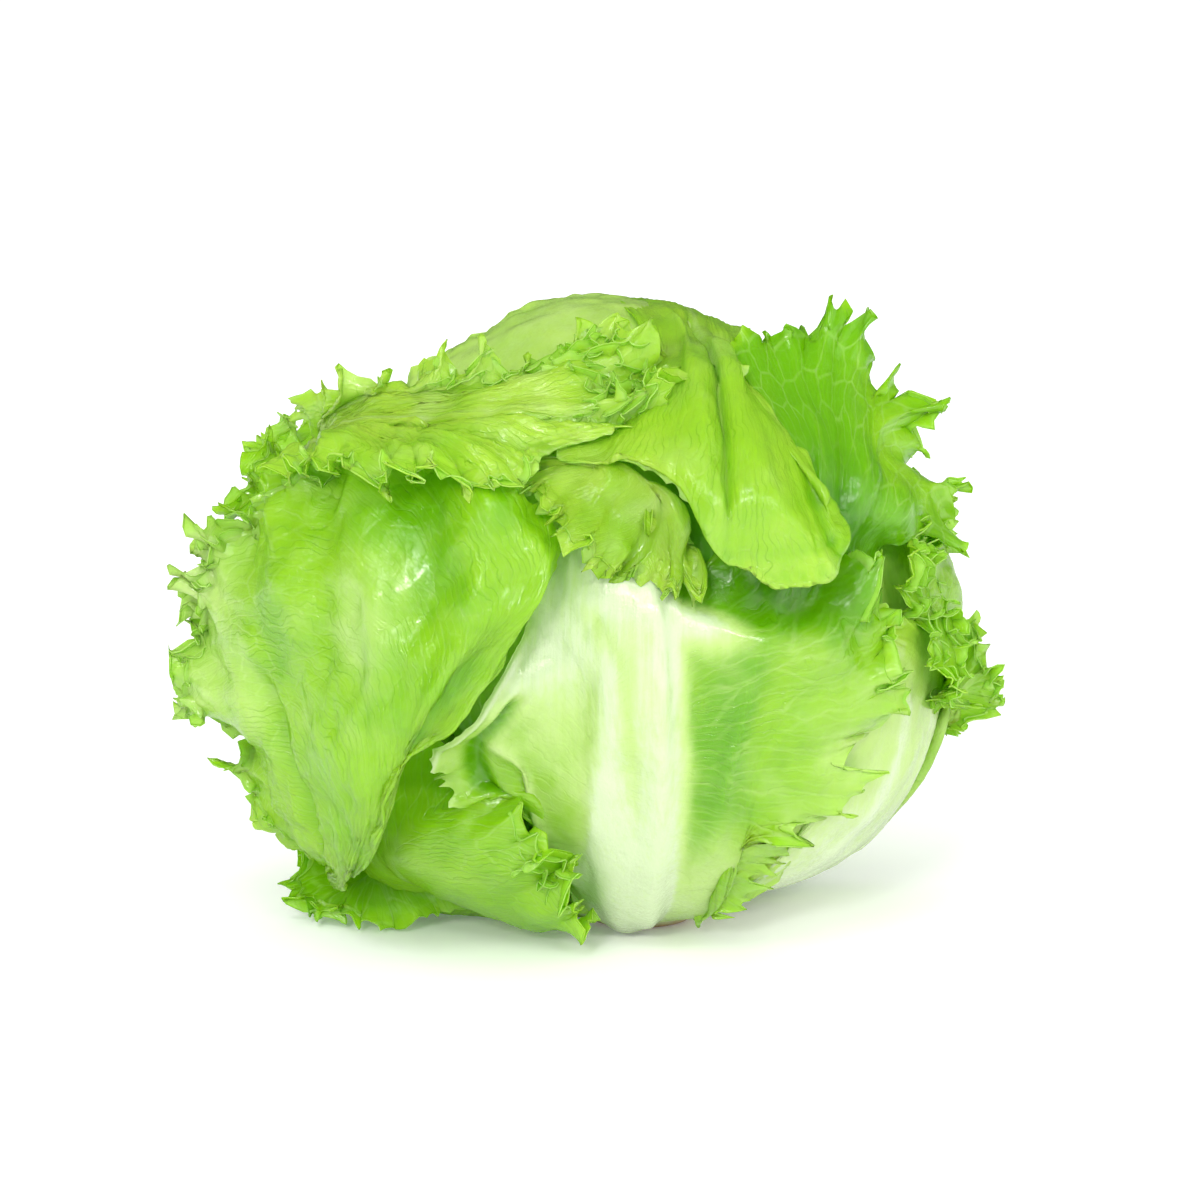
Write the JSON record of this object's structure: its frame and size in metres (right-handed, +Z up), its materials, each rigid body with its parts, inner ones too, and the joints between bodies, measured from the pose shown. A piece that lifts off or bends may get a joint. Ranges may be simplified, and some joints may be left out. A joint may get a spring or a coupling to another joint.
{
  "type": "crisphead lettuce head",
  "caption": "Head of frilly-leaved crisphead lettuce: toothed green leaves folded round a pale heart, standing on its cut stem.",
  "frame": {"origin": "centre of the stem's flat cut face, on the surface that the head stands on", "axes": "+Z up along the stem, -Y towards the front leaf with its broad rib, +X towards the head's right side seen from the front"},
  "size_m": [0.2366, 0.2063, 0.1787],
  "materials": {
    "leaf": "fresh yellow-green leaf, waxy sheen, pale veins, thin pale margin",
    "closed_leaf": "pale green inner leaf, smooth waxy sheen",
    "stem": "cream stem with a browned cut face, matte"
  },
  "bodies": {
    "root": {"crown_back_leaf": "closed_leaf", "crown_leaf": "closed_leaf", "right_head_leaf": "closed_leaf", "front_leaf": "leaf", "low_left_leaf": "leaf", "brow_leaf": "leaf", "curtain_leaf": "leaf", "right_fan_leaf": "leaf", "right_edge_leaf": "leaf", "right_low_leaf": "leaf", "back_leaf": "leaf", "back_right_leaf": "leaf", "left_back_leaf": "leaf", "back_low_leaf": "leaf", "floor_leaf": "leaf", "left_wrapper_leaf": "leaf", "crest_leaf": "leaf", "heart": "closed_leaf", "stem": "stem"}
  },
  "joints": []
}
